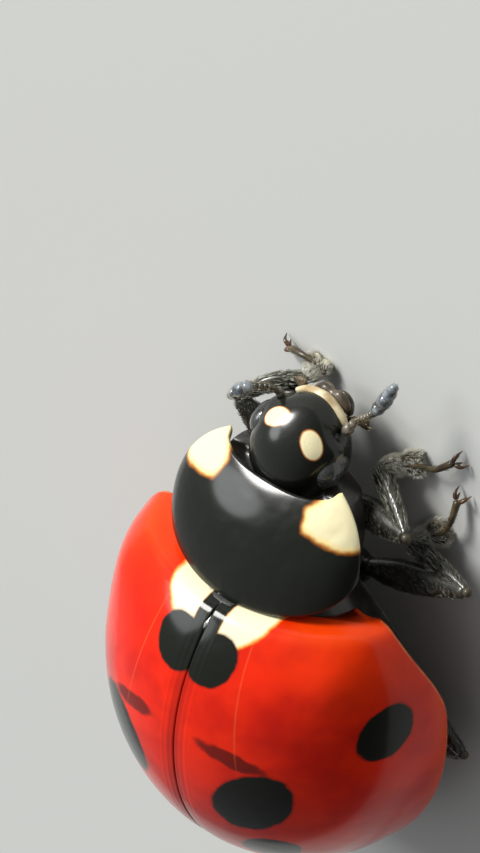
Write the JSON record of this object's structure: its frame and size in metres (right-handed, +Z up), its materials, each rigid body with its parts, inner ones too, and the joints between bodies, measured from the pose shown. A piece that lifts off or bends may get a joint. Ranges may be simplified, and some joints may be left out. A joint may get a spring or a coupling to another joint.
{
  "type": "ladybird",
  "caption": "Still, life-size spotted ladybird standing on its feet, with domed wing cases, pronotum, head, eyes, feelers and legs.",
  "frame": {"origin": "on the surface the beetle stands on, under the middle of its overall box", "axes": "+Z up, head towards -Y, the beetle's left side towards +X"},
  "size_m": [0.006, 0.0092, 0.0037],
  "materials": {
    "shell": "glossy orange-red chitin with near-black spots and a cream patch at each front corner of the scutellum",
    "black": "glossy black chitin with cream patches on the pronotum's front corners and the brow",
    "eye": "glossy black, finely faceted",
    "underside": "satin black chitin, short pale hairs",
    "leg": "satin black chitin, short pale hairs",
    "foot": "brown-black with pale yellow-grey pads",
    "mouth": "brown chitin",
    "feeler": "grey-brown chitin with a darker club"
  },
  "bodies": {
    "root": {"elytron_left": "shell", "elytron_right": "shell", "scutellum": "black", "head": "black", "eye_left": "eye", "eye_right": "eye", "labrum": "mouth", "mandible_left": "mouth", "mandible_right": "mouth", "palp_left": "mouth", "palp_right": "mouth", "antenna_left": "feeler", "antenna_right": "feeler", "pronotum": "black", "prothorax": "underside", "thorax": "underside", "abdomen": "underside", "coxa_fore_left": "leg", "femur_fore_left": "leg", "tibia_fore_left": "leg", "tarsus_fore_left": "foot", "coxa_fore_right": "leg", "femur_fore_right": "leg", "tibia_fore_right": "leg", "tarsus_fore_right": "foot", "coxa_mid_left": "leg", "femur_mid_left": "leg", "tibia_mid_left": "leg", "tarsus_mid_left": "foot", "coxa_mid_right": "leg", "femur_mid_right": "leg", "tibia_mid_right": "leg", "tarsus_mid_right": "foot", "coxa_hind_left": "leg", "femur_hind_left": "leg", "tibia_hind_left": "leg", "tarsus_hind_left": "foot", "coxa_hind_right": "leg", "femur_hind_right": "leg", "tibia_hind_right": "leg", "tarsus_hind_right": "foot"}
  },
  "joints": []
}
